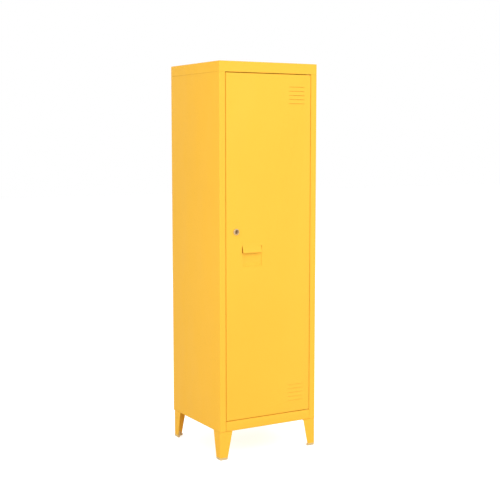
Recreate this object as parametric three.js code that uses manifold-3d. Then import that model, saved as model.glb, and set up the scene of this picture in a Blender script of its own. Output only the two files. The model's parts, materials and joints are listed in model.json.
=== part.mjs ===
// Steel side locker: one inset door on pivot pins, four tapered angle legs, three shelves.
// Millimetres, +Z up. In the body's own frame x = 0 is the middle, y = 0 the front plane, z = 0 the floor.
import * as THREE from 'three';
import { mergeVertices } from 'three/addons/utils/BufferGeometryUtils.js';
import Module from 'manifold-3d';

const wasm = await Module();
wasm.setup();

// Body
const bodyWidth = 380;
const bodyDepth = 356;
const bodyHeight = 1236;
const legHeight = 97;
const sheet = 1;
const bend = 2;
const seam = 0.3;
const stileWidth = 23;
const jambDepth = 18;
const jambLip = 8;
const rearFlange = 15;
const capHeight = 35;
const railHeight = 34;
const baseRearFlange = 20;
const stopLip = 10;

// Legs and glides
const legSheet = 1.5;
const legTopWidth = 47;
const legFootWidth = 29;
const legPlate = 2;
const rearLegInset = 7;
const glideHeight = 8;
const glideWidth = 8;
const glideRound = 3;
const glideStub = 10;
const boltRadius = 3;
const boltHeadRadius = 5.5;
const boltHeadHeight = 4;
const boltNear = 16;
const boltFar = 31;
const boltClearance = 0.3;

// Door
const doorDepth = 18;
const doorReturn = 12;
const sideGap = 1.5;
const topGap = 2.5;
const bottomGap = 2;
const bufferRadius = 5;
const bufferThickness = 6.4;
const bufferInset = 40;
const stiffenerWidth = 28;
const stiffenerDepth = 12;
const stiffenerFlange = 10;
const stiffenerOffset = 20;
const stiffenerEndGap = 30;

// Pivot pins and bushes
const pivotInset = 10;
const pivotBack = 6;
const pinRadius = 2.5;
const pinHeadRadius = 4.4;
const pinHeadHeight = 2.5;
const pinReach = 9;
const bushWall = 1.2;
const bushFlangeRadius = 4.8;
const bushFlange = 0.8;
const bushDepth = 8;
const runningClearance = 0.3;

// Louvres, pressed outward and open at the bottom
const louvreCount = 5;
const louvreWidth = 62;
const louvrePitch = 13.9;
const louvreHeight = 11;
const louvreCrown = 5;
const louvreProud = 1.6;
const louvreEdgeInset = 25.5;
const louvreEndInset = 41.5;
const louvreSlope = 5;
const pressedWall = 0.8;
const slitHeight = 0.6;

// Pull: a flap lanced from the skin and bent outward, over a shallow dish with a pocket behind the flap
const pullWidth = 76;
const pullFromEdge = 60.5;
const pullAboveBottom = 521;
const pullMouth = 46;
const pullFlapHeight = 23;
const pullFlapProud = 5;
const pullFlapSlit = 2.2;
const pullDish = 6;
const pullRamp = 9;
const pullSideSlope = 10;
const pullPocket = 14;
const pullFlange = 8;

// Cam lock
const lockFromEdge = 38;
const lockAboveBottom = 639;
const lockFaceRadius = 11.2;
const lockFaceEdge = 1.2;
const lockProud = 3.5;
const lockBodyRadius = 9.5;
const lockBodyLength = 19;
const lockPlugRadius = 6.5;
const lockPlugRecess = 1.4;
const lockNutRadius = 14;
const lockNutHeight = 4;
const keywayWidth = 2.2;
const keywayHeight = 8;
const keywayDepth = 6;
const camThickness = 2;
const camLength = 48;
const camWidth = 14;
const camCorner = 4.2;
const camStubRadius = 3;
const camScrewRadius = 5;
const camScrewHeight = 2.5;

// Shelves, slotted strips and clips
const shelfCount = 3;
const shelfDrop = 22;
const shelfFront = 40;
const shelfBackGap = 4;
const shelfSideGap = 1.5;
const stripWidth = 20;
const stripDepth = 8;
const stripFromFront = 50;
const stripFromBack = 54;
const stripBottomGap = 40;
const stripTopGap = 24;
const slotPitch = 50;
const slotHeight = 3;
const clipWidth = 10;
const clipSheet = 1.2;
const clipHook = 7;
const clipLedge = 14;
const clipBend = 0.8;

// Fineness of arcs and rounds, and how far a cutting shape runs past the faces that it cuts
const arcSteps = 3;
const roundSides = 24;
const boltSides = 12;
const hexSides = 6;
const leastBend = 0.2;
const past = 1;
const sameCorner = 1e-4;

// Places that follow from the sizes
const halfWidth = bodyWidth / 2;
const bodyTop = legHeight + bodyHeight;
const capBottom = bodyTop - capHeight;
const railTop = legHeight + railHeight;
const openingHalf = halfWidth - stileWidth;
const doorX = [-openingHalf + sideGap, openingHalf - sideGap];
const doorZ = [railTop + bottomGap, capBottom - topGap];
const stopFace = doorDepth + bufferThickness + 2 * seam;
const floorTop = legHeight + sheet;
const wallInside = halfWidth - sheet;
const backInside = bodyDepth - 2 * sheet - seam;
const pivotX = doorX[1] - pivotInset;
const bushRadius = pinRadius + runningClearance + bushWall;
const lockX = doorX[0] + lockFromEdge;
const lockZ = doorZ[0] + lockAboveBottom;
const pullX = [doorX[0] + pullFromEdge, doorX[0] + pullFromEdge + pullWidth];
const pullLow = doorZ[0] + pullAboveBottom;
const pullLip = pullLow + pullMouth;
const pullTop = pullLip + pullFlapHeight;
const stripWeb = wallInside - seam - stripDepth;
const stripZ = [floorTop + stripBottomGap, capBottom - stripTopGap];
const slotCount = Math.floor((stripZ[1] - stripZ[0]) / slotPitch);
const frontProud = Math.max(pullFlapProud, lockProud, louvreProud);

// Finishes, as seen in the photograph
function finish(color, roughness, metalness) {
  return new THREE.MeshStandardMaterial({ color, roughness, metalness });
}

const yellowCoat = () => finish(0xf6bd38, 0.45, 0.0);
const zincPlate = () => finish(0xb9bcc0, 0.35, 0.9);
const lockSteel = () => finish(0xb4b0aa, 0.3, 0.9);
const plugSteel = () => finish(0x6a5c4c, 0.4, 0.8);
const blackRubber = () => finish(0x2a2a2c, 0.8, 0.0);
const ivoryNylon = () => finish(0xdcc48a, 0.5, 0.0);
const beigePlastic = () => finish(0xd6be8c, 0.6, 0.0);

// Turns a closed three.js geometry into a solid that can be joined and cut.
function solid(geometry) {
  geometry.deleteAttribute('normal');
  geometry.deleteAttribute('uv');
  const merged = mergeVertices(geometry, sameCorner);
  const corners = [];
  const index = merged.index.array;
  for (let i = 0; i < index.length; i += 3) {
    const [a, b, c] = [index[i], index[i + 1], index[i + 2]];
    if (a !== b && b !== c && c !== a) corners.push(a, b, c);
  }
  const vertProperties = new Float32Array(merged.attributes.position.array);
  const shape = (order) => new wasm.Manifold(
    new wasm.Mesh({ numProp: 3, vertProperties, triVerts: new Uint32Array(order) }),
  );
  const body = shape(corners);
  return body.volume() > 0 ? body : shape(corners.reverse());
}

function geometryOf(body) {
  const { vertProperties, triVerts } = body.getMesh();
  const geometry = new THREE.BufferGeometry();
  geometry.setAttribute('position', new THREE.BufferAttribute(new Float32Array(vertProperties), 3));
  geometry.setIndex(new THREE.BufferAttribute(new Uint32Array(triVerts), 1));
  geometry.computeVertexNormals();
  return geometry;
}

function piece(name, body, material) {
  const mesh = new THREE.Mesh(geometryOf(body), material);
  mesh.name = name;
  return mesh;
}

const joined = (bodies) => bodies.reduce((whole, body) => whole.add(body));
const cut = (body, tools) => tools.reduce((whole, tool) => whole.subtract(tool), body);
const inset = ([low, high], by) => [low + by, high - by];

// A run of corners with an arc of the given radius at each; a closed run rounds every corner.
function filleted(corners, radii, closed = false) {
  const last = corners.length - 1;
  const points = [];
  corners.forEach((corner, i) => {
    if (!closed && (i === 0 || i === last)) {
      points.push(corner);
      return;
    }
    const arriving = corner.clone().sub(corners[i === 0 ? last : i - 1]).normalize();
    const leaving = corners[i === last ? 0 : i + 1].clone().sub(corner).normalize();
    const turn = Math.atan2(arriving.cross(leaving), arriving.dot(leaving));
    const start = corner.clone().addScaledVector(arriving, -radii[i] * Math.tan(Math.abs(turn) / 2));
    const inward = new THREE.Vector2(-arriving.y, arriving.x).multiplyScalar(Math.sign(turn) * radii[i]);
    const centre = start.clone().add(inward);
    for (let step = 0; step <= arcSteps; step += 1) {
      points.push(start.clone().rotateAround(centre, (turn * step) / arcSteps));
    }
  });
  return points;
}

const vectors = (points) => points.map(([x, y]) => new THREE.Vector2(x, y));
const polygon = (points) => new THREE.Shape(vectors(points));

function roundedRect([x0, x1], [y0, y1], radius) {
  const corners = vectors([[x0, y0], [x1, y0], [x1, y1], [x0, y1]]);
  return new THREE.Shape(filleted(corners, corners.map(() => radius), true));
}

function regularPolygon(x, y, radius, sides) {
  const points = [];
  for (let i = 0; i < sides; i += 1) {
    const angle = (2 * Math.PI * i) / sides;
    points.push([x + radius * Math.cos(angle), y + radius * Math.sin(angle)]);
  }
  return polygon(points);
}

// Section of a folded sheet. The path runs along one face and the sheet lies on its left.
function foldedSection(path, thickness, outerBend = bend) {
  const near = vectors(path);
  const steps = near.slice(1).map((corner, i) => corner.clone().sub(near[i]).normalize());
  const normals = steps.map((step) => new THREE.Vector2(-step.y, step.x));
  const far = near.map((corner, i) => {
    const before = normals[Math.max(i - 1, 0)];
    const after = normals[Math.min(i, normals.length - 1)];
    return corner.clone().addScaledVector(before.clone().add(after), thickness / (1 + before.dot(after)));
  });
  const turnsLeft = near.map((_, i) => i > 0 && i < steps.length && steps[i - 1].cross(steps[i]) > 0);
  const innerBend = Math.max(outerBend - thickness, leastBend);
  const nearRadii = turnsLeft.map((left) => (left ? outerBend : innerBend));
  const farRadii = turnsLeft.map((left) => (left ? innerBend : outerBend));
  return new THREE.Shape([...filleted(near, nearRadii), ...filleted(far, farRadii).reverse()]);
}

// The same section seen in a mirror across the x = 0 plane
const mirrored = (shape) => polygon(shape.getPoints().map(({ x, y }) => [-x, y]).reverse());

const axes = [0, 1, 2].map((i) => new THREE.Vector3().setComponent(i, 1));
const extruded = (shape, depth) => new THREE.ExtrudeGeometry(shape, { depth, bevelEnabled: false });

// Prisms of a section drawn in the y-z, x-z or x-y plane
function alongX(section, [from, to]) {
  const turn = new THREE.Matrix4().makeBasis(axes[1], axes[2], axes[0]);
  return solid(extruded(section, to - from).applyMatrix4(turn).translate(from, 0, 0));
}

function alongY(section, [from, to]) {
  const turn = new THREE.Matrix4().makeBasis(axes[0], axes[2], axes[1].clone().negate());
  return solid(extruded(section, to - from).applyMatrix4(turn).translate(0, to, 0));
}

function alongZ(section, [from, to]) {
  return solid(extruded(section, to - from).translate(0, 0, from));
}

const rect = ([x0, x1], [y0, y1]) => polygon([[x0, y0], [x1, y0], [x1, y1], [x0, y1]]);
const box = (xSpan, ySpan, zSpan) => alongZ(rect(xSpan, ySpan), zSpan);
const rod = (x, y, radius, zSpan, sides = roundSides) => alongZ(regularPolygon(x, y, radius, sides), zSpan);

// A round piece from its radius and height steps, standing on the z axis
function revolved(profile) {
  return new THREE.LatheGeometry(vectors(profile), roundSides).rotateX(Math.PI / 2);
}

// A block with its top and upright edges rounded and its underside square
function block(xSpan, ySpan, zSpan, radius) {
  const tall = [zSpan[0] - 2 * radius, zSpan[1]];
  const plan = alongZ(roundedRect(xSpan, ySpan, radius), zSpan);
  const front = alongY(roundedRect(xSpan, tall, radius), ySpan);
  const side = alongX(roundedRect(ySpan, tall, radius), xSpan);
  return plan.intersect(front).intersect(side);
}

// A folded pan, open underneath
function pan(xSpan, ySpan, zSpan) {
  const hollow = [zSpan[0] - sheet, zSpan[1] - sheet];
  return block(xSpan, ySpan, zSpan, bend).subtract(
    block(inset(xSpan, sheet), inset(ySpan, sheet), hollow, bend - sheet),
  );
}

// Stands a lying block up, so that its top becomes the front
const standing = (body) => solid(geometryOf(body).rotateX(Math.PI / 2));

// Side panel: wall, front stile with its jamb, and the flange that holds the back panel
function sidePanelSection() {
  return foldedSection([
    [-halfWidth + rearFlange, bodyDepth],
    [-halfWidth, bodyDepth],
    [-halfWidth, 0],
    [-openingHalf, 0],
    [-openingHalf, jambDepth],
    [-openingHalf - jambLip, jambDepth],
  ], sheet);
}

function sidePanels() {
  const span = [floorTop + seam, capBottom - seam];
  return [
    piece('side_panel_left', alongZ(sidePanelSection(), span), yellowCoat()),
    piece('side_panel_right', alongZ(mirrored(sidePanelSection()), span), yellowCoat()),
  ];
}

function backPanel() {
  const across = inset([-wallInside, wallInside], bend);
  const body = box(across, [backInside, backInside + sheet], [floorTop + bend, bodyTop - sheet - bend]);
  return piece('back_panel', body, yellowCoat());
}

// Top cap: a pan whose front skirt turns in over the door and down behind it as a stop
function topCap() {
  const shell = pan([-halfWidth, halfWidth], [0, bodyDepth], [capBottom, bodyTop]);
  const stop = alongX(foldedSection([
    [0, capBottom + stopLip],
    [0, capBottom],
    [stopFace, capBottom],
    [stopFace, capBottom - stopLip],
  ], sheet), inset([-openingHalf, openingHalf], seam));
  const through = inset([capBottom, capBottom + sheet], -past);
  const pinHole = rod(pivotX, pivotBack, pinRadius + runningClearance, through);
  return piece('top_cap', cut(shell.add(stop), [pinHole]), yellowCoat());
}

const legCorners = [
  ['front_left', -1, 1, 0],
  ['front_right', 1, 1, 0],
  ['rear_left', -1, -1, bodyDepth - rearLegInset],
  ['rear_right', 1, -1, bodyDepth - rearLegInset],
].map(([place, side, inward, cornerY]) => ({ place, side, inward, cornerY }));

// From a leg's own corner, u runs in along the front and v in along the side
function atLeg({ side, inward, cornerY }, [u, v]) {
  return [side * (halfWidth - u), cornerY + inward * v];
}

// Spans across the width and the depth that a reach from a leg's corner covers
function spansAt(corner, reach) {
  const ends = reach.map((along) => atLeg(corner, [along, along]));
  return [0, 1].map((axis) => ends.map((end) => end[axis]).sort((a, b) => a - b));
}

const boltPlaces = [[boltFar, boltNear], [boltNear, boltFar]];
const allBolts = () => legCorners.flatMap((leg) => boltPlaces.map((place) => atLeg(leg, place)));

// Base: floor, front rail turned in under the door and up behind it, and a low flange at the back
function baseTray() {
  const middle = inset([-openingHalf, openingHalf], seam);
  const folded = alongX(foldedSection([
    [stopFace, railTop + stopLip],
    [stopFace, railTop],
    [0, railTop],
    [0, legHeight],
    [bodyDepth, legHeight],
    [bodyDepth, legHeight + baseRearFlange],
  ], sheet), middle);
  const floor = alongZ(roundedRect([-halfWidth, halfWidth], [0, bodyDepth], bend), [legHeight, floorTop]);
  const throughFloor = inset([legHeight, floorTop], -past);
  const foldRoom = box(inset(middle, sheet), [-past, bend], throughFloor);
  const holes = allBolts().map(([x, y]) => rod(x, y, boltRadius + boltClearance, throughFloor));
  const throughRail = inset([railTop - sheet, railTop], -past);
  const pinHole = rod(pivotX, pivotBack, pinRadius + runningClearance, throughRail);
  return piece('base_tray', cut(cut(floor, [foldRoom]).add(folded), [...holes, pinHole]), yellowCoat());
}

// Tapered angle leg with a plate on top for its bolts
function leg(corner) {
  const placed = (shape) => polygon(shape.getPoints().map(({ x, y }) => atLeg(corner, [x, y])));
  const foot = glideHeight + seam;
  const top = legHeight - seam;
  const angle = foldedSection([[0, legTopWidth], [0, 0], [legTopWidth, 0]], legSheet, bend + legSheet);
  const taper = [[-past, foot], [legFootWidth, foot], [legTopWidth, top], [-past, top]];
  const frontTaper = polygon(taper.map(([u, z]) => [atLeg(corner, [u, 0])[0], z]));
  const sideTaper = polygon(taper.map(([v, z]) => [atLeg(corner, [0, v])[1], z]));
  const [frontSpan, sideSpan] = spansAt(corner, [-past, legTopWidth + past]);
  const flanges = alongZ(placed(angle), [foot, top])
    .intersect(alongY(frontTaper, sideSpan))
    .intersect(alongX(sideTaper, frontSpan));
  const plateSide = [legSheet / 2, legTopWidth];
  const plateSpan = [top - legPlate, top];
  const plate = alongZ(placed(roundedRect(plateSide, plateSide, bend)), plateSpan);
  const holes = boltPlaces.map((place) => (
    rod(...atLeg(corner, place), boltRadius + boltClearance, inset(plateSpan, -past))
  ));
  return piece(`leg_${corner.place}`, cut(flanges.add(plate), holes), yellowCoat());
}

// Plastic glide: an angle pad under the leg, rounded below, with a stub that grips inside the leg
function glide(corner) {
  const angle = (from, to, reach) => polygon([
    [from + bend, from], [reach, from], [reach, to], [to, to],
    [to, reach], [from, reach], [from, from + bend],
  ].map((place) => atLeg(corner, place)));
  const [frontSpan, sideSpan] = spansAt(corner, [0, legFootWidth]);
  const tall = [0, glideHeight + 2 * glideRound];
  const rounded = alongY(roundedRect(frontSpan, tall, glideRound), sideSpan)
    .intersect(alongX(roundedRect(sideSpan, tall, glideRound), frontSpan));
  const pad = alongZ(angle(0, glideWidth, legFootWidth), [0, glideHeight]).intersect(rounded);
  const stub = alongZ(angle(legSheet + seam, glideWidth, legFootWidth - glideWidth), [
    glideHeight - past,
    glideHeight + glideStub,
  ]);
  return piece(`foot_glide_${corner.place}`, pad.add(stub), beigePlastic());
}

// Bolt through leg plate and floor, with its nut
function legBolt(corner, place, number) {
  const [x, y] = atLeg(corner, place);
  const headTop = legHeight - 2 * seam - legPlate;
  const nutBottom = floorTop + seam;
  const body = joined([
    rod(x, y, boltHeadRadius, [headTop - boltHeadHeight, headTop], hexSides),
    rod(x, y, boltRadius, [headTop - past, nutBottom + boltHeadHeight + past], boltSides),
    rod(x, y, boltHeadRadius, [nutBottom, nutBottom + boltHeadHeight], hexSides),
  ]);
  return piece(`leg_bolt_${corner.place}_${number + 1}`, body, zincPlate());
}

// Pivot pin, drawn with its head at the bottom and turned over for the upper hinge
function pivotPin(name, plateZ, up, gap) {
  const collarTop = gap - bushFlange - 2 * seam;
  const profile = [
    [0, -sheet - seam - pinHeadHeight],
    [pinHeadRadius, -sheet - seam - pinHeadHeight],
    [pinHeadRadius, -sheet - seam],
    [pinRadius, -sheet - seam],
    [pinRadius, seam],
    [pinHeadRadius, seam],
    [pinHeadRadius, collarTop],
    [pinRadius, collarTop],
    [pinRadius, gap + pinReach],
    [0, gap + pinReach],
  ];
  const turned = revolved(profile.map(([radius, z]) => [radius, up * z]));
  return piece(name, solid(turned.translate(pivotX, pivotBack, plateZ)), yellowCoat());
}

// Flanged bush that lines the hole in the door's end wall
function doorBush(name, doorEnd, up) {
  const inner = pinRadius + runningClearance;
  const profile = [
    [inner, -seam - bushFlange],
    [bushFlangeRadius, -seam - bushFlange],
    [bushFlangeRadius, -seam],
    [bushRadius, -seam],
    [bushRadius, bushDepth],
    [inner, bushDepth],
    [inner, -seam - bushFlange],
  ];
  const turned = revolved(profile.map(([radius, z]) => [radius, up * z]));
  return piece(name, solid(turned.translate(pivotX, pivotBack, doorEnd)), ivoryNylon());
}

// A louvre's hood, pressed outward from the skin and open along its lower edge; grow < 0 gives its inside
function louvreHood(low, grow) {
  const reach = louvreProud + grow;
  const inside = grow < 0 ? sheet + past : sheet / 2;
  const bottom = grow < 0 ? low - slitHeight : low;
  const top = low + louvreHeight + grow;
  const side = polygon([
    [inside, bottom], [-reach, bottom], [-reach, low + louvreCrown + grow], [0, top], [inside, top],
  ]);
  const right = doorX[1] - louvreEdgeInset + grow;
  const left = doorX[1] - louvreEdgeInset - louvreWidth - grow;
  const plan = polygon([
    [left, inside], [left, 0], [left + louvreSlope, -reach],
    [right - louvreSlope, -reach], [right, 0], [right, inside],
  ]);
  return alongX(side, [left, right]).intersect(alongZ(plan, [bottom, top]));
}

// Lower edges of the two sets of louvres, counted from the door's ends
function louvreLips() {
  const steps = Array.from({ length: louvreCount }, (_, i) => louvreEndInset + i * louvrePitch);
  return steps.flatMap((step) => [doorZ[1] - step, doorZ[0] + step]);
}

// The pull's flap hangs from the skin at its top, and its ends and lower edge stand free
function pullFlap() {
  const section = polygon([
    [0, pullTop + bend],
    [0, pullTop],
    [-pullFlapProud, pullLip],
    [sheet - pullFlapProud, pullLip],
    [sheet, pullTop],
    [sheet, pullTop + bend],
  ]);
  return alongX(section, inset(pullX, pullFlapSlit));
}

// The finger room of the pull: a dish with sloped ends and a ramp below, and a pocket behind the flap
function pullRoom(grow, front) {
  const back = pullDish + grow;
  const low = pullLow - grow;
  const side = polygon([[front, low], [back, low + pullRamp], [back, pullTop], [front, pullTop]]);
  const [left, right] = inset(pullX, -grow);
  const plan = polygon([
    [left, front], [right, front], [right - pullSideSlope, back], [left + pullSideSlope, back],
  ]);
  const dish = alongX(side, [left, right]).intersect(alongZ(plan, [low, pullTop]));
  return dish.add(box([left, right], [front, pullPocket + grow], inset([pullLip, pullTop], -grow)));
}

function pullCup() {
  const behindSkin = sheet + seam;
  const flange = box(
    inset(pullX, -pullFlange),
    [behindSkin, behindSkin + sheet],
    [pullLow - pullFlange, pullTop + pullFlange],
  );
  return piece('pull_cup', flange.add(pullRoom(sheet, behindSkin)).subtract(pullRoom(0, 0)), yellowCoat());
}

// Door pan: folded edges with returns, pressed louvres, the pull's flap, holes for lock and bushes
function doorPan() {
  const outer = standing(block(doorX, doorZ, [-doorDepth, 0], bend));
  const inside = [doorX, doorZ, [-doorDepth, 0]].map((span) => inset(span, sheet));
  const hollow = block(...inside, bend - sheet);
  const window = box(inset(doorX, doorReturn), [doorDepth / 2, doorDepth + past], inset(doorZ, doorReturn));
  const hoods = louvreLips().map((low) => louvreHood(low, 0));
  const slits = louvreLips().map((low) => louvreHood(low, -pressedWall));
  const throughSkin = inset([0, sheet], -past);
  const mouth = box(pullX, throughSkin, [pullLow, pullTop]);
  const lockHole = alongY(regularPolygon(lockX, lockZ, lockBodyRadius + seam, roundSides), throughSkin);
  const bushHole = rod(pivotX, pivotBack, bushRadius + seam, inset(doorZ, -past));
  const skin = joined([cut(outer, [standing(hollow), window]), ...hoods]);
  return piece('door_pan', cut(skin, [...slits, mouth, lockHole, bushHole]).add(pullFlap()), yellowCoat());
}

// Hat channel inside the door skin
function doorStiffener() {
  const face = sheet + seam;
  const left = stiffenerOffset - stiffenerWidth / 2;
  const right = stiffenerOffset + stiffenerWidth / 2;
  const section = foldedSection([
    [left - stiffenerFlange, face],
    [left, face],
    [left, face + stiffenerDepth],
    [right, face + stiffenerDepth],
    [right, face],
    [right + stiffenerFlange, face],
  ], sheet);
  return piece('door_stiffener', alongZ(section, inset(doorZ, stiffenerEndGap)), yellowCoat());
}

// Rubber buffer between a stop lip and the door's return
function doorBuffer(name, z) {
  const x = doorX[0] + bufferInset;
  const thickness = [doorDepth + seam, doorDepth + seam + bufferThickness];
  return piece(name, alongY(regularPolygon(x, z, bufferRadius, roundSides), thickness), blackRubber());
}

// A turned lock part: its profile is drawn along the lock's axis, positive into the locker
const onLockAxis = (profile) => solid(revolved(profile).rotateX(-Math.PI / 2).translate(lockX, 0, lockZ));

function lockHousing() {
  const bore = lockPlugRadius + runningClearance;
  return piece('lock_housing', onLockAxis([
    [bore, -lockProud],
    [lockFaceRadius - lockFaceEdge, -lockProud],
    [lockFaceRadius, -lockProud + lockFaceEdge],
    [lockFaceRadius, -seam],
    [lockBodyRadius, -seam],
    [lockBodyRadius, lockBodyLength],
    [bore, lockBodyLength],
    [bore, -lockProud],
  ]), lockSteel());
}

function lockNut() {
  const from = sheet + seam;
  const ring = regularPolygon(lockX, lockZ, lockNutRadius, hexSides);
  const hole = regularPolygon(lockX, lockZ, lockBodyRadius + seam, roundSides);
  const span = [from, from + lockNutHeight];
  return piece('lock_nut', alongY(ring, span).subtract(alongY(hole, inset(span, -past))), zincPlate());
}

const camFront = lockBodyLength + 2 * seam;
const camBack = camFront + camThickness;

function lockPlug() {
  const front = -lockProud + lockPlugRecess;
  const body = onLockAxis([
    [0, front],
    [lockPlugRadius, front],
    [lockPlugRadius, lockBodyLength + seam],
    [camStubRadius, lockBodyLength + seam],
    [camStubRadius, camBack + seam],
    [0, camBack + seam],
  ]);
  const keyway = box(
    [lockX - keywayWidth / 2, lockX + keywayWidth / 2],
    [front - past, front + keywayDepth],
    [lockZ - keywayHeight / 2, lockZ + keywayHeight / 2],
  );
  return piece('lock_plug', body.subtract(keyway), plugSteel());
}

// Cam tongue, standing upright while the door is unlocked
function lockCam() {
  const half = camWidth / 2;
  const outline = roundedRect([lockX - half, lockX + half], [lockZ - half, lockZ + camLength], camCorner);
  const hole = regularPolygon(lockX, lockZ, camStubRadius + seam, roundSides);
  const span = [camFront, camBack];
  const body = alongY(outline, span).subtract(alongY(hole, inset(span, -past)));
  return piece('lock_cam', body, zincPlate());
}

function camScrew() {
  const from = camBack + 2 * seam;
  const hexagon = regularPolygon(lockX, lockZ, camScrewRadius, hexSides);
  return piece('cam_screw', alongY(hexagon, [from, from + camScrewHeight]), zincPlate());
}

const slotBottom = (number) => stripZ[0] + slotPitch * (number + 0.5);
const stripFronts = [['front', stripFromFront], ['rear', bodyDepth - stripFromBack - stripWidth]];

// Pieces drawn for the right-hand wall, turned into left-hand ones by a mirror
const handed = (body, hand) => (hand > 0 ? body : solid(geometryOf(body).scale(-1, 1, 1)));
const sides = [['left', -1], ['right', 1]];

// Slotted channel on the inside of a side panel
function shelfStrip(place, front, hand) {
  const section = foldedSection([
    [wallInside - seam, front],
    [stripWeb, front],
    [stripWeb, front + stripWidth],
    [wallInside - seam, front + stripWidth],
  ].reverse(), sheet);
  const middle = front + stripWidth / 2;
  const slotHalf = clipWidth / 2 + seam;
  const throughWeb = inset([stripWeb, stripWeb + sheet], -past);
  const slots = [];
  for (let i = 0; i < slotCount; i += 1) {
    const height = [slotBottom(i) - seam, slotBottom(i) + slotHeight];
    slots.push(box(throughWeb, [middle - slotHalf, middle + slotHalf], height));
  }
  const body = cut(alongZ(section, stripZ), slots);
  return piece(`shelf_strip_${place}`, handed(body, hand), yellowCoat());
}

// Clip: hooks behind a slot's lower edge and carries the shelf on its ledge
function shelfClip(place, front, hand, slot) {
  const hookFace = stripWeb + sheet + seam;
  const section = foldedSection([
    [stripWeb - clipLedge, slotBottom(slot)],
    [hookFace, slotBottom(slot)],
    [hookFace, slotBottom(slot) - clipHook],
  ], clipSheet, clipSheet + clipBend);
  const middle = front + stripWidth / 2;
  const body = alongY(section, [middle - clipWidth / 2, middle + clipWidth / 2]);
  return piece(`shelf_clip_${place}`, handed(body, hand), zincPlate());
}

function shelf(number, slot) {
  const half = stripWeb - shelfSideGap;
  const low = slotBottom(slot) + clipSheet + seam;
  const body = pan([-half, half], [shelfFront, backInside - shelfBackGap], [low, low + shelfDrop]);
  return piece(`shelf_${number}`, body, yellowCoat());
}

const shelfShare = slotCount / (shelfCount + 1);
const shelfSlots = Array.from({ length: shelfCount }, (_, i) => Math.round((i + 1) * shelfShare));

function shelving() {
  const pieces = [];
  stripFronts.forEach(([row, front]) => {
    sides.forEach(([side, hand]) => {
      pieces.push(shelfStrip(`${row}_${side}`, front, hand));
      shelfSlots.forEach((slot, i) => pieces.push(shelfClip(`${i + 1}_${row}_${side}`, front, hand, slot)));
    });
  });
  shelfSlots.forEach((slot, i) => pieces.push(shelf(i + 1, slot)));
  return pieces;
}

function footing() {
  return legCorners.flatMap((corner) => [
    leg(corner),
    glide(corner),
    ...boltPlaces.map((place, i) => legBolt(corner, place, i)),
  ]);
}

const carcass = new THREE.Group();
carcass.add(
  ...sidePanels(),
  backPanel(),
  topCap(),
  baseTray(),
  ...footing(),
  ...shelving(),
  pivotPin('hinge_pin_upper', capBottom, -1, topGap),
  pivotPin('hinge_pin_lower', railTop, 1, bottomGap),
  doorBuffer('door_buffer_upper', doorZ[1] - doorReturn / 2),
  doorBuffer('door_buffer_lower', doorZ[0] + doorReturn / 2),
);

const lockRotor = new THREE.Group();
lockRotor.add(lockPlug(), lockCam(), camScrew());

const door = new THREE.Group();
door.add(
  doorPan(),
  doorStiffener(),
  doorBush('door_bush_upper', doorZ[1], -1),
  doorBush('door_bush_lower', doorZ[0], 1),
  pullCup(),
  lockHousing(),
  lockNut(),
  lockRotor,
);

// The finished locker stands on the origin, centred on its overall depth with the pull included
const locker = new THREE.Group();
locker.add(carcass, door);
locker.position.y = (frontProud - bodyDepth) / 2;

export default locker;
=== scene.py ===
"""Looks of the steel side locker: powder coat, plated metal, rubber and plastic, in a white studio."""
import json
import math

import bmesh
import bpy
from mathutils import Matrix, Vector


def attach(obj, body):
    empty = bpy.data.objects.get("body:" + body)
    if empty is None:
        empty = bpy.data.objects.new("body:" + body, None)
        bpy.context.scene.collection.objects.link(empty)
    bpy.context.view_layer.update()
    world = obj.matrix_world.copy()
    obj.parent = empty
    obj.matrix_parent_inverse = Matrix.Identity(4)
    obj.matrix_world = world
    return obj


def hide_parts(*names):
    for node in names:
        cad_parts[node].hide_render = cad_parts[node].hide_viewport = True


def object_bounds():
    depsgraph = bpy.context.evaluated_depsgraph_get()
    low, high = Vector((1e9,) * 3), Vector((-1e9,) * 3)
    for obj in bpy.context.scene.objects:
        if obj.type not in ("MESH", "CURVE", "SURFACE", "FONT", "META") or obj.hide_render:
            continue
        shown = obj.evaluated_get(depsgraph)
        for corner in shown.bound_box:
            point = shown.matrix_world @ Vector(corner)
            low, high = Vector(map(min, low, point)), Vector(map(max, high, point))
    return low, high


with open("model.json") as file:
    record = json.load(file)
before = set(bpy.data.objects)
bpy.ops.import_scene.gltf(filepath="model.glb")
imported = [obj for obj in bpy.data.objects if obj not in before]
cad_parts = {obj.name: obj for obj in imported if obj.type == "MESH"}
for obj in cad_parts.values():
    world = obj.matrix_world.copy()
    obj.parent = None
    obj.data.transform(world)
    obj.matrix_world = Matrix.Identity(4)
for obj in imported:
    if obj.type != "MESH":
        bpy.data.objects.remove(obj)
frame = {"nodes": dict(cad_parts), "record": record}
cad_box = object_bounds()
nodes = frame["nodes"]

# Camera of the photograph, fitted to points of the locker that were measured in it
PHOTO_PIXELS = 500
FOCAL_PIXELS = 1051.2
SENSOR_WIDTH = 36.0
CAMERA_PLACE = Vector((-1.8373, -3.2056, 1.0834))
CAMERA_YAW = math.radians(30.190)
CAMERA_PITCH = math.radians(6.094)
LEVEL_LOOK = math.radians(90)

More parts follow.
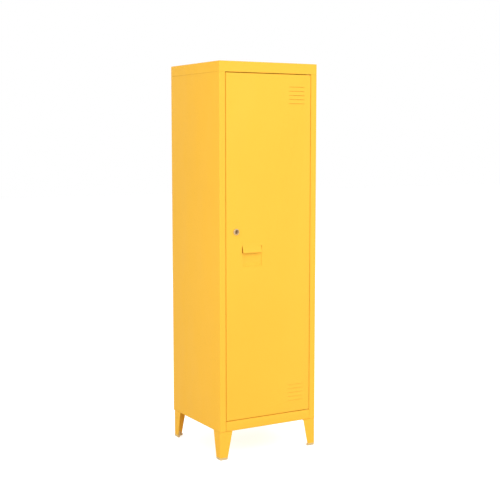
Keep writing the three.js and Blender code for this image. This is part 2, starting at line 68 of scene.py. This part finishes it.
# Colours in linear light
YELLOW = (0.965, 0.525, 0.045, 1.0)
YELLOW_DEEP = (0.945, 0.508, 0.042, 1.0)
SPECK_SHADE = (0.93, 0.92, 0.90, 1.0)
ZINC = (0.62, 0.63, 0.65, 1.0)
ZINC_DULL = (0.46, 0.47, 0.49, 1.0)
# Lock ring: its metal colour, with a warm yellow tint that is a painted reflection of the yellow door
LOCK_TONE_PAINTED_REFLECTION = (0.80, 0.59, 0.30, 1.0)
LOCK_TONE_DULL_PAINTED_REFLECTION = (0.68, 0.49, 0.23, 1.0)
# Lock plug: dark brown that is partly the plug's metal and partly painted shade of the keyway
PLUG_PAINTED_SHADE = (0.34, 0.20, 0.10, 1.0)
PLUG_WORN_PAINTED_SHADE = (0.44, 0.28, 0.16, 1.0)
RUBBER = (0.018, 0.018, 0.019, 1.0)
RUBBER_DUSTY = (0.035, 0.034, 0.033, 1.0)
NYLON = (0.72, 0.55, 0.25, 1.0)
NYLON_SHADE = (0.62, 0.47, 0.20, 1.0)
GLIDE = (0.80, 0.60, 0.28, 1.0)
GLIDE_SCUFFED = (0.70, 0.52, 0.25, 1.0)
WHITE = (1.0, 1.0, 1.0, 1.0)

# Powder coat: clouds, handling marks, dust specks, orange peel and gloss, with lengths in metres
CLOUD_SIZE = 0.35
MARK_SIZE = 0.06
MARK_STRETCH = (1.0, 1.0, 0.35)
MARK_DETAIL = 5.0
SPECK_SIZE = 0.004
SPECK_SPAN = (0.26, 0.34)
SPECK_DETAIL = 1.0
PEEL_SIZE = 0.0016
PEEL_DEPTH = 0.00006
PEEL_DETAIL = 2.0
COAT_ROUGHNESS = (0.52, 0.64)
COAT_REFLECTION = 0.22

# Small pieces: scuffs and fine grain, with sizes in metres
SCUFF_SIZE = 0.012
GRAIN_SIZE = 0.0009
GRAIN_DETAIL = 2.0

# Edges of every piece: lengths in metres, and the angle from which an edge is sharp
EDGE_ROUNDING = 0.0004
EDGE_ANGLE = math.radians(32)
EDGE_STEPS = 2
WELD_REACH = 0.000001

# Studio: square lamps aimed at the middle of the locker, each with its place in metres and its watts
LAMP_SIZE = 4.0
LAMPS = {
    "key": ((0.0, -4.6, 2.9), 143.0),
    "fill": ((-3.5, -0.7, 1.9), 65.0),
    "side": ((3.5, -0.3, 1.9), 57.0),
    "back": ((1.2, 3.7, 2.4), 72.0),
}
WORLD_LIGHT = 0.56
WORLD_SEEN = 1.0
FLOOR_SIZE = 30.0
FLOOR_COLOUR = (0.70, 0.70, 0.70, 1.0)
FLOOR_ROUGHNESS = 0.9
FLOOR_REFLECTION = 0.1
FLOOR_LIFT = 0.66

# Sockets of Blender's Mix node when it mixes colours, and the factor of a full mix
MIX_FACTOR = 0
MIX_FIRST = 6
MIX_SECOND = 7
MIX_RESULT = 2
FULL_MIX = 1.0


def add_node(material, kind, **inputs):
    node = material.node_tree.nodes.new(kind)
    for name, value in inputs.items():
        node.inputs[name].default_value = value
    return node


def connect(material, source, target):
    material.node_tree.links.new(source, target)


def new_material(name):
    material = bpy.data.materials.new(name)
    material.use_nodes = True
    return material, material.node_tree.nodes["Principled BSDF"]


def noise(material, size, detail=3.0, stretch=(1.0, 1.0, 1.0)):
    """Noise with blobs of about the given size in metres, fixed to the piece."""
    place = add_node(material, "ShaderNodeTexCoord")
    mapping = add_node(material, "ShaderNodeMapping", Scale=stretch)
    texture = add_node(material, "ShaderNodeTexNoise", Scale=1.0 / size, Detail=detail)
    connect(material, place.outputs["Object"], mapping.inputs["Vector"])
    connect(material, mapping.outputs["Vector"], texture.inputs["Vector"])
    return texture.outputs["Fac"]


def grey(level):
    return (level, level, level, 1.0)


def ramp(material, source, low, high, span=(0.3, 0.7)):
    """Maps the given span of a noise to colours from low to high."""
    node = add_node(material, "ShaderNodeValToRGB")
    for element, position, colour in zip(node.color_ramp.elements, span, (low, high)):
        element.position = position
        element.color = colour
    connect(material, source, node.inputs["Fac"])
    return node.outputs["Color"]


def roughen(material, shader, source, span):
    smooth, rough = span
    connect(material, ramp(material, source, grey(smooth), grey(rough)), shader.inputs["Roughness"])


def bump(material, shader, source, depth):
    node = add_node(material, "ShaderNodeBump", Distance=depth)
    connect(material, source, node.inputs["Height"])
    connect(material, node.outputs["Normal"], shader.inputs["Normal"])


def multiply(material, colour, stain):
    """A colour times a stain that lies over it."""
    node = add_node(material, "ShaderNodeMix")
    node.data_type = "RGBA"
    node.blend_type = "MULTIPLY"
    node.inputs[MIX_FACTOR].default_value = FULL_MIX
    connect(material, colour, node.inputs[MIX_FIRST])
    connect(material, stain, node.inputs[MIX_SECOND])
    return node.outputs[MIX_RESULT]


def powder_coat(name):
    """Satin coat with faint clouds, dust specks, handling marks in its gloss, and orange peel."""
    material, shader = new_material(name)
    shader.inputs["Specular IOR Level"].default_value = COAT_REFLECTION
    clouds = ramp(material, noise(material, CLOUD_SIZE), YELLOW_DEEP, YELLOW)
    dust = noise(material, SPECK_SIZE, detail=SPECK_DETAIL)
    specks = ramp(material, dust, SPECK_SHADE, WHITE, SPECK_SPAN)
    connect(material, multiply(material, clouds, specks), shader.inputs["Base Color"])
    marks = noise(material, MARK_SIZE, detail=MARK_DETAIL, stretch=MARK_STRETCH)
    roughen(material, shader, marks, COAT_ROUGHNESS)
    bump(material, shader, noise(material, PEEL_SIZE, detail=PEEL_DETAIL), PEEL_DEPTH)
    return material


def scuffed(name, colours, roughness, grain_depth, metallic=0.0):
    """Finish of a small piece: scuffs in its colour, uneven gloss, and a fine grain."""
    material, shader = new_material(name)
    shader.inputs["Metallic"].default_value = metallic
    scuffs = ramp(material, noise(material, SCUFF_SIZE), *colours)
    connect(material, scuffs, shader.inputs["Base Color"])
    grain = noise(material, GRAIN_SIZE, detail=GRAIN_DETAIL)
    roughen(material, shader, grain, roughness)
    bump(material, shader, grain, grain_depth)
    return material


def zinc_plate(name):
    colours = (ZINC_DULL, ZINC)
    return scuffed(name, colours, roughness=(0.25, 0.42), grain_depth=0.00002, metallic=1.0)


# Lock ring finish: metal whose yellow tint is a painted reflection of the door around it
def lock_steel(name):
    colours = (LOCK_TONE_DULL_PAINTED_REFLECTION, LOCK_TONE_PAINTED_REFLECTION)
    return scuffed(name, colours, roughness=(0.22, 0.38), grain_depth=0.00001, metallic=0.7)


# Lock plug finish: its dark tone is partly painted shade of the keyway
def plug_steel(name):
    colours = (PLUG_PAINTED_SHADE, PLUG_WORN_PAINTED_SHADE)
    return scuffed(name, colours, roughness=(0.30, 0.50), grain_depth=0.00002, metallic=0.8)


def black_rubber(name):
    colours = (RUBBER, RUBBER_DUSTY)
    return scuffed(name, colours, roughness=(0.70, 0.90), grain_depth=0.00005)


def ivory_nylon(name):
    colours = (NYLON_SHADE, NYLON)
    return scuffed(name, colours, roughness=(0.42, 0.55), grain_depth=0.00002)


def beige_plastic(name):
    colours = (GLIDE_SCUFFED, GLIDE)
    return scuffed(name, colours, roughness=(0.50, 0.70), grain_depth=0.00004)


FINISHES = {
    "yellow_coat": powder_coat,
    "zinc_plate": zinc_plate,
    "lock_steel": lock_steel,
    "plug_steel": plug_steel,
    "black_rubber": black_rubber,
    "ivory_nylon": ivory_nylon,
    "beige_plastic": beige_plastic,
}


def join_facets(mesh):
    """Joins the loose facets of a CAD mesh, so that bends shade smoothly and edges can be rounded."""
    shape = bmesh.new()
    shape.from_mesh(mesh)
    bmesh.ops.remove_doubles(shape, verts=shape.verts, dist=WELD_REACH)
    shape.to_mesh(mesh)
    shape.free()
    flat_normals = mesh.attributes.get("custom_normal")
    if flat_normals:
        mesh.attributes.remove(flat_normals)
    mesh.shade_smooth()
    mesh.set_sharp_from_angle(angle=EDGE_ANGLE)


def round_edges(piece):
    edge = piece.modifiers.new("edge rounding", "BEVEL")
    edge.width = EDGE_ROUNDING
    edge.segments = EDGE_STEPS
    edge.limit_method = "ANGLE"
    edge.angle_limit = EDGE_ANGLE
    edge.harden_normals = True


def finished_copy(node):
    """A piece that stands for a CAD node, with joined facets and softly rounded edges."""
    mesh = nodes[node].data.copy()
    mesh.materials.clear()
    join_facets(mesh)
    piece = bpy.data.objects.new(f"{node}_finished", mesh)
    bpy.context.collection.objects.link(piece)
    round_edges(piece)
    return piece


def dress_nodes():
    """Puts a finished piece in the place of every CAD node, on its body and in its slot's finish."""
    finish_of = {slot: make(slot) for slot, make in FINISHES.items()}
    members_of = frame["record"]["behaviour"]["bodies"]
    body_of = {node: body for body, members in members_of.items() for node in members}
    for entry in frame["record"]["subparts"]:
        node = entry["node"]
        slot = entry["material_slot"]
        piece = finished_copy(node)
        piece.data.materials.append(finish_of[slot])
        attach(piece, body_of[node])
        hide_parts(node)


def photo_camera():
    camera = bpy.data.cameras.new("photo_camera")
    camera.sensor_width = SENSOR_WIDTH
    camera.lens = FOCAL_PIXELS / PHOTO_PIXELS * SENSOR_WIDTH
    holder = bpy.data.objects.new("photo_camera", camera)
    holder.location = CAMERA_PLACE
    holder.rotation_euler = (LEVEL_LOOK - CAMERA_PITCH, 0.0, -CAMERA_YAW)
    bpy.context.collection.objects.link(holder)
    bpy.context.scene.camera = holder


def soft_light(name, place, target, watts):
    lamp = bpy.data.lights.new(name, "AREA")
    lamp.shape = "SQUARE"
    lamp.size = LAMP_SIZE
    lamp.energy = watts
    holder = bpy.data.objects.new(name, lamp)
    holder.location = place
    holder.rotation_euler = (target - place).to_track_quat("-Z", "Y").to_euler()
    bpy.context.collection.objects.link(holder)


def studio_lights():
    middle = (cad_box[0] + cad_box[1]) / 2
    for name, (place, watts) in LAMPS.items():
        soft_light(name, Vector(place), middle, watts)


def studio_world():
    """World light of a plain level that the camera sees as white."""
    world = bpy.data.worlds.new("studio")
    world.use_nodes = True
    tree = world.node_tree
    background = tree.nodes["Background"]
    background.inputs["Color"].default_value = WHITE
    paths = tree.nodes.new("ShaderNodeLightPath")
    strength = tree.nodes.new("ShaderNodeMapRange")
    strength.inputs["To Min"].default_value = WORLD_LIGHT
    strength.inputs["To Max"].default_value = WORLD_SEEN
    tree.links.new(paths.outputs["Is Camera Ray"], strength.inputs["Value"])
    tree.links.new(strength.outputs["Result"], background.inputs["Strength"])
    bpy.context.scene.world = world


def floor_finish():
    """White floor with a faint shadow; the camera sees it brighter than the lamps make it."""
    material, shader = new_material("floor")
    shader.inputs["Base Color"].default_value = FLOOR_COLOUR
    shader.inputs["Roughness"].default_value = FLOOR_ROUGHNESS
    shader.inputs["Specular IOR Level"].default_value = FLOOR_REFLECTION
    shader.inputs["Emission Color"].default_value = WHITE
    paths = add_node(material, "ShaderNodeLightPath")
    lift = add_node(material, "ShaderNodeMapRange")
    lift.inputs["To Max"].default_value = FLOOR_LIFT
    connect(material, paths.outputs["Is Camera Ray"], lift.inputs["Value"])
    connect(material, lift.outputs["Result"], shader.inputs["Emission Strength"])
    return material


def studio_floor():
    reach = FLOOR_SIZE / 2
    corners = [
        (-reach, -reach, 0.0),
        (reach, -reach, 0.0),
        (reach, reach, 0.0),
        (-reach, reach, 0.0),
    ]
    mesh = bpy.data.meshes.new("floor")
    mesh.from_pydata(corners, [], [(0, 1, 2, 3)])
    mesh.materials.append(floor_finish())
    floor = bpy.data.objects.new("floor", mesh)
    bpy.context.collection.objects.link(floor)


dress_nodes()
photo_camera()
studio_lights()
studio_world()
studio_floor()
bpy.context.scene.view_settings.view_transform = "Standard"
